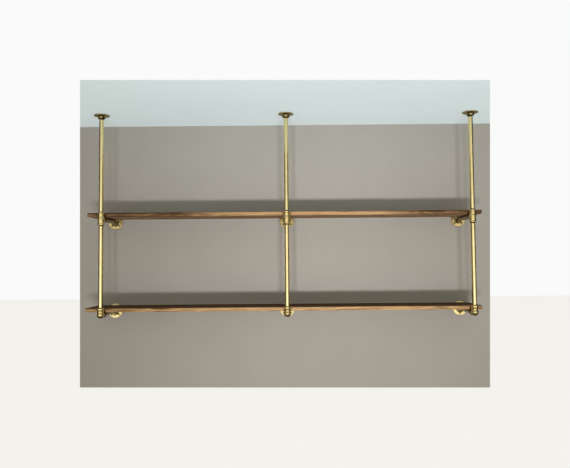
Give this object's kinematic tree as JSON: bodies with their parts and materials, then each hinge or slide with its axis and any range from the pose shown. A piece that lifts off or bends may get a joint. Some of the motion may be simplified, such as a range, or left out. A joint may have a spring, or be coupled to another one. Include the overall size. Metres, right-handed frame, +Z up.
{
  "type": "wall shelf with pipe brackets",
  "caption": "Two-tier wall shelf: notched wooden boards resting on threaded brass-finish pipe brackets that are flanged to the wall and to the ceiling.",
  "frame": {"origin": "middle of the lower centre wall flange, on the face that meets the wall", "axes": "+X runs to the right along the wall, +Y points into the wall, so the room is towards -Y, and +Z is up"},
  "size_m": [1.808, 0.265, 0.945],
  "materials": {
    "cast_fittings": "satin",
    "pipe": "satin",
    "boards": "matte"
  },
  "bodies": {
    "frame": {"left_ceiling_flange": "cast_fittings", "left_upper_riser": "pipe", "left_tee": "cast_fittings", "left_lower_riser": "pipe", "left_elbow": "cast_fittings", "left_upper_arm": "pipe", "left_lower_arm": "pipe", "left_upper_wall_flange": "cast_fittings", "left_lower_wall_flange": "cast_fittings", "centre_ceiling_flange": "cast_fittings", "centre_upper_riser": "pipe", "centre_tee": "cast_fittings", "centre_lower_riser": "pipe", "centre_elbow": "cast_fittings", "centre_upper_arm": "pipe", "centre_lower_arm": "pipe", "centre_upper_wall_flange": "cast_fittings", "centre_lower_wall_flange": "cast_fittings", "right_ceiling_flange": "cast_fittings", "right_upper_riser": "pipe", "right_tee": "cast_fittings", "right_lower_riser": "pipe", "right_elbow": "cast_fittings", "right_upper_arm": "pipe", "right_lower_arm": "pipe", "right_upper_wall_flange": "cast_fittings", "right_lower_wall_flange": "cast_fittings"},
    "upper_board": {"upper_board": "boards"},
    "lower_board": {"lower_board": "boards"}
  },
  "joints": [
    {"name": "upper_board_lift", "type": "slide", "parent": "frame", "child": "upper_board", "axis": [0, 0, 1], "range_m": [0, 0.439]},
    {"name": "lower_board_lift", "type": "slide", "parent": "frame", "child": "lower_board", "axis": [0, 0, 1], "range_m": [0, 0.394]}
  ]
}
